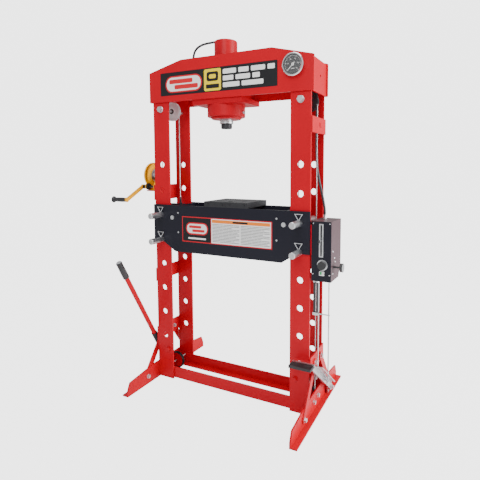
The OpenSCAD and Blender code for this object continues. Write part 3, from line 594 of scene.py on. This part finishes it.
def gauge_glass():
    r = GAUGE_R - 7.4 * MM
    profile = [(0.2 * MM, 0), (r, 0), (r, 1.0 * MM), (r * 0.8, 1.6 * MM), (r * 0.4, 1.95 * MM),
               (0.2 * MM, 2.0 * MM)]
    verts, faces = lathe(profile)
    centre = (GAUGE_AT.x, LENS_Y, GAUGE_AT.z)
    add_mesh("gauge_lens", facing_front(verts, centre), faces, "frame", GLASS)


gauge_marks()
gauge_numbers()
gauge_glass()

# ---------------------------------------------------------------------- pump screws
def screw_head(name, at, facing, radius):
    """A low domed head with a round dip in its middle, on a face that looks towards facing."""
    high = radius * 0.5
    profile = [(0.15 * radius, 0), (radius, 0), (radius * 0.96, high * 0.45), (radius * 0.7, high * 0.85),
               (radius * 0.32, high), (0.15 * radius, high * 0.5)]
    verts, faces = lathe(profile, 24)
    turn = Matrix.Translation(at) @ Vector(facing).to_track_quat("Z", "Y").to_matrix().to_4x4()
    add_mesh(name, [turn @ v for v in verts], faces, "frame", ZINC)


CASE_LOW, CASE_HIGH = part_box("pump_case")
for i, (x, z) in enumerate(((8, 36), (93, 36), (8, 290), (93, 290))):
    at = (CASE_LOW[0] + x * MM, PANEL_FACE, CASE_LOW[2] + z * MM)
    screw_head(f"panel_screw_{i}", at, (0, -1, 0), 3.4 * MM)
for i, (y, z) in enumerate(((30, 38), (56, 112), (30, 150), (66, 92))):
    at = (CASE_HIGH[0], CASE_LOW[1] + y * MM, CASE_LOW[2] + z * MM)
    screw_head(f"case_screw_{i}", at, (1, 0, 0), 4.2 * MM)

# ------------------------------------------------------------------ hoses and ropes
OIL_ROUTE = [(-119, 0, 1992), (-150, 0, 1992), (-190, 0, 1990), (-228, 0, 1982), (-258, 0, 1963),
             (-272, 0, 1934), (-275, 0, 1900), (-272, 2, 1868), (-260, 14, 1838), (-240, 36, 1812),
             (-210, 60, 1790), (-160, 80, 1772), (-60, 88, 1766), (60, 88, 1764), (170, 86, 1764),
             (280, 80, 1762), (360, 72, 1756), (420, 62, 1740), (452, 54, 1708), (464, 50, 1660),
             (466, 48, 1580), (467, 46, 1480), (468, 44, 1380), (474, 40, 1290), (488, 34, 1215),
             (506, 28, 1150), (518, 23, 1100), (524, 20, 1068), (525, 20, 1044)]


def tube(name, points, diameter, body, material):
    """A round tube along points in millimetres, as a smooth curve."""
    curve = bpy.data.curves.new(name, "CURVE")
    curve.dimensions = "3D"
    curve.bevel_depth = diameter / 2 * MM
    curve.bevel_resolution = 4
    curve.resolution_u = 6
    curve.use_fill_caps = True
    spline = curve.splines.new("BEZIER")
    spline.bezier_points.add(len(points) - 1)
    for knot, point in zip(spline.bezier_points, points):
        knot.co = Vector(point) * MM
        knot.handle_left_type = knot.handle_right_type = "AUTO"
    curve.materials.append(material)
    thing = bpy.data.objects.new(name, curve)
    bpy.context.collection.objects.link(thing)
    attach(thing, body)
    return thing


# Rope on the winch drum, millimetres
TURNS_X = (-548, -516)
TURNS_R = 26.8
TURNS = 5.5
KNOTS_A_TURN = 12
ROPE_D = 5.0
HOSE_D = 12.6


def drum_turns():
    """The rope's turns that lie on the drum, between its flanges."""
    x0, x1 = TURNS_X
    y, z = DRUM_AT[1] / MM, DRUM_AT[2] / MM
    count = int(TURNS * KNOTS_A_TURN)
    points = []
    for i in range(count + 1):
        a = 2 * math.pi * i / KNOTS_A_TURN
        points.append((x0 + (x1 - x0) * i / count, y + TURNS_R * math.sin(a), z - TURNS_R * math.cos(a)))
    tube("drum_rope_turns", points, ROPE_D, "drum", ROPE_STEEL)


drum_turns()
hose = tube("oil_hose_smooth", OIL_ROUTE, HOSE_D, "frame", HOSE_RUBBER)
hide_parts("oil_hose")

# ---------------------------------------------------------------- floor and lights
FLOOR = (0.93, 0.93, 0.93)
WHITE = 4.0
WHITE_SHARE = 0.85


def white_for_camera(tree, lit, kind, output):
    """Shows the studio as bright white to the camera, while it lights the press as before."""
    bright = tree.nodes.new(kind)
    bright.inputs["Color"].default_value = (1, 1, 1, 1)
    bright.inputs["Strength"].default_value = WHITE
    seen = Sock(tree, tree.nodes.new("ShaderNodeLightPath").outputs["Is Camera Ray"])
    mixed = tree.nodes.new("ShaderNodeMixShader")
    tree.links.new((seen * WHITE_SHARE).socket, mixed.inputs[0])
    tree.links.new(lit, mixed.inputs[1])
    tree.links.new(bright.outputs[0], mixed.inputs[2])
    end = next(node for node in tree.nodes if node.bl_idname == output)
    tree.links.new(mixed.outputs[0], end.inputs[0])


def floor():
    mesh = bpy.data.meshes.new("floor")
    half = 14
    corners = [(-half, -half, 0), (half, -half, 0), (half, half, 0), (-half, half, 0)]
    mesh.from_pydata(corners, [], [(0, 1, 2, 3)])
    thing = bpy.data.objects.new("floor", mesh)
    bpy.context.collection.objects.link(thing)
    finish = Finish("studio_floor", FLOOR, 0.6)
    finish.put("Roughness", finish.noise(3.0) * 0.1 + 0.55)
    white_for_camera(finish.tree, finish.shader.outputs[0], "ShaderNodeEmission", "ShaderNodeOutputMaterial")
    mesh.materials.append(finish.material)


def softbox(name, at, aim, size, power, tint=(1, 1, 1)):
    data = bpy.data.lights.new(name, "AREA")
    data.shape = "RECTANGLE"
    data.size, data.size_y = size
    data.energy = power
    data.color = tint
    thing = bpy.data.objects.new(name, data)
    thing.location = at
    thing.rotation_euler = (Vector(aim) - Vector(at)).to_track_quat("-Z", "Y").to_euler()
    bpy.context.collection.objects.link(thing)


def world():
    made = bpy.data.worlds.new("studio")
    made.use_nodes = True
    tree = made.node_tree
    sky = tree.nodes["Background"]
    sky.inputs["Color"].default_value = (1, 1, 1, 1)
    sky.inputs["Strength"].default_value = 0.7
    white_for_camera(tree, sky.outputs[0], "ShaderNodeBackground", "ShaderNodeOutputWorld")
    bpy.context.scene.world = made


floor()
world()
softbox("key", (0.9, -3.6, 3.4), (0, 0, 1.1), (2.2, 2.2), 90)
softbox("right_side", (3.6, 0.6, 1.7), (0.3, 0, 1.1), (2.4, 3.0), 260)
softbox("top", (0.2, -0.3, 4.2), (0, 0, 1.0), (2.5, 2.0), 60)
